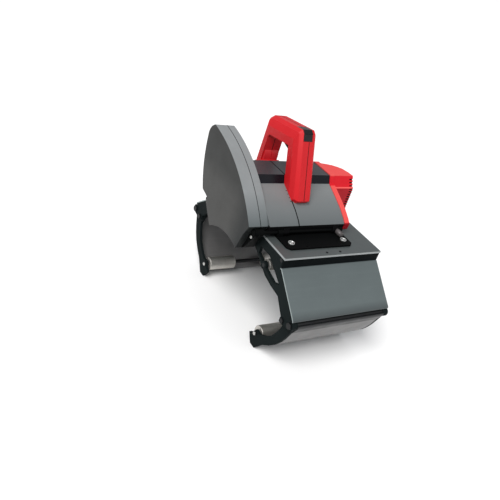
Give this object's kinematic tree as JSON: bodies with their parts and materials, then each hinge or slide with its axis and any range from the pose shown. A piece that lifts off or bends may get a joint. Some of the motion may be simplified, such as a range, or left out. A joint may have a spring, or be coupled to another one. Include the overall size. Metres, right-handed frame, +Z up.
{
  "type": "electric pipe cutter",
  "caption": "Clamp-on pipe saw: grey carriage with two hinged roller jaws that grips a pipe, and a tipping power head with curved blade guard, motor housing and red D handle.",
  "frame": {"origin": "on the axis of the pipe, at the middle of the carriage's length", "axes": "+X along the pipe from the blade end to the motor end, +Y away from the operator, +Z up"},
  "size_m": [0.3694, 0.521, 0.4954],
  "materials": {
    "deck_paint": "grey coated aluminium plate with bright worn edges",
    "cover_paint": "grey-green coated sheet, satin",
    "black_steel": "black coated, satin",
    "bright_steel": "bright zinc, turned",
    "pin_steel": "blackened, oiled",
    "roller_metal": "turned grey rollers, worn",
    "shell_metal": "light grey anodised sheet",
    "guard_paint": "dark grey powder coat",
    "housing_plastic": "dark grey fine-grained housing",
    "black_plastic": "black, fine-grained",
    "gloss_black": "smooth black insert",
    "red_plastic": "red, satin gloss",
    "grey_plastic": "dark grey button",
    "gland_rubber": "black rubber",
    "cast_alloy": "cast alloy, shot-blasted",
    "lamination": "varnished iron laminations",
    "copper": "copper bars",
    "blade_steel": "ground saw blade"
  },
  "bodies": {
    "carriage": {"deck_plate": "deck_paint", "end_plate_left": "black_steel", "end_plate_right": "black_steel", "front_cover": "cover_paint", "rear_cover": "cover_paint", "front_band": "black_plastic", "rear_band": "black_plastic", "tie_rods": "bright_steel", "hinge_rods": "pin_steel", "clamp_rods": "pin_steel", "frame_screws": "bright_steel", "base_plate": "black_steel", "base_screws": "bright_steel", "head_hinge_pin": "black_steel", "upper_axles": "bright_steel"},
    "upper_front_rollers": {"upper_front_rollers": "roller_metal"},
    "upper_rear_rollers": {"upper_rear_rollers": "roller_metal"},
    "front_jaw": {"front_jaw_left_plate": "black_steel", "front_jaw_right_plate": "black_steel", "front_jaw_shell": "shell_metal", "front_jaw_axle": "bright_steel"},
    "front_jaw_rollers": {"front_jaw_rollers": "roller_metal"},
    "rear_jaw": {"rear_jaw_left_plate": "black_steel", "rear_jaw_right_plate": "black_steel", "rear_jaw_shell": "shell_metal", "rear_jaw_axle": "bright_steel"},
    "rear_jaw_rollers": {"rear_jaw_rollers": "roller_metal"},
    "clamp_knob": {"clamp_knob": "black_plastic"},
    "power_head": {"guard_outer_shell": "guard_paint", "guard_inner_shell": "guard_paint", "head_screws": "bright_steel", "cover_latch": "black_plastic", "guard_bracket": "black_steel", "gearbox_housing": "housing_plastic", "motor_housing": "housing_plastic", "bottom_tray": "black_plastic", "stripe_insert": "gloss_black", "handle_left_half": "red_plastic", "handle_right_half": "red_plastic", "bezel": "red_plastic", "rear_cap": "red_plastic", "cable_gland": "gland_rubber", "gear_case": "cast_alloy", "spindle_bearings": "bright_steel", "motor_bearings": "bright_steel", "stator": "lamination", "brush_ring": "black_plastic", "switch_body": "black_plastic"},
    "rotor": {"armature": "lamination", "commutator": "copper", "cooling_fan": "black_plastic", "motor_pinion": "bright_steel"},
    "blade_spindle": {"spindle": "bright_steel", "spindle_gear": "bright_steel", "inner_flange": "bright_steel", "saw_blade": "blade_steel", "outer_flange": "bright_steel", "blade_bolt": "bright_steel"},
    "trigger": {"trigger": "black_plastic"},
    "lock_button": {"lock_button": "grey_plastic"}
  },
  "joints": [
    {"name": "front_jaw_hinge", "type": "hinge", "parent": "carriage", "child": "front_jaw", "pos_m": [0, -0.248, 0.0588], "axis": [-1, 0, 0], "range_deg": [-8, 45]},
    {"name": "rear_jaw_hinge", "type": "hinge", "parent": "carriage", "child": "rear_jaw", "pos_m": [0, 0.248, 0.0588], "axis": [1, 0, 0], "range_deg": [-8, 45]},
    {"name": "clamp_knob_turn", "type": "hinge", "parent": "carriage", "child": "clamp_knob", "pos_m": [0, 0.22, 0.05051], "axis": [1, 0, 0], "range_deg": [-360, 0]},
    {"name": "upper_front_roll", "type": "hinge", "parent": "carriage", "child": "upper_front_rollers", "pos_m": [0, -0.09674, 0.11529], "axis": [1, 0, 0], "continuous": true},
    {"name": "upper_rear_roll", "type": "hinge", "parent": "carriage", "child": "upper_rear_rollers", "pos_m": [0, 0.09674, 0.11529], "axis": [1, 0, 0], "continuous": true},
    {"name": "front_jaw_roll", "type": "hinge", "parent": "front_jaw", "child": "front_jaw_rollers", "pos_m": [0, -0.14375, -0.05662], "axis": [1, 0, 0], "continuous": true},
    {"name": "rear_jaw_roll", "type": "hinge", "parent": "rear_jaw", "child": "rear_jaw_rollers", "pos_m": [0, 0.14375, -0.05662], "axis": [1, 0, 0], "continuous": true},
    {"name": "head_plunge", "type": "hinge", "parent": "carriage", "child": "power_head", "pos_m": [0, -0.074, 0.1915], "axis": [1, 0, 0], "range_deg": [0, 20]},
    {"name": "blade_spin", "type": "hinge", "parent": "power_head", "child": "blade_spindle", "pos_m": [0, 0.048, 0.1993], "axis": [1, 0, 0], "continuous": true},
    {"name": "rotor_spin", "type": "hinge", "parent": "power_head", "child": "rotor", "pos_m": [0, 0.0561, 0.23438], "axis": [1, 0, 0], "continuous": true},
    {"name": "trigger_pull", "type": "slide", "parent": "power_head", "child": "trigger", "axis": [0, 0.1453, 0.9894], "range_m": [0, 0.004], "stiffness_N_per_m": 600, "springref_m": -0.004},
    {"name": "lock_button_push", "type": "slide", "parent": "power_head", "child": "lock_button", "axis": [0, 0.923, -0.3849], "range_m": [0, 0.0025], "stiffness_N_per_m": 600, "springref_m": -0.003}
  ],
  "couplings": [
    {"joint": "rotor_spin", "follows": "blade_spin", "ratio": -5}
  ]
}
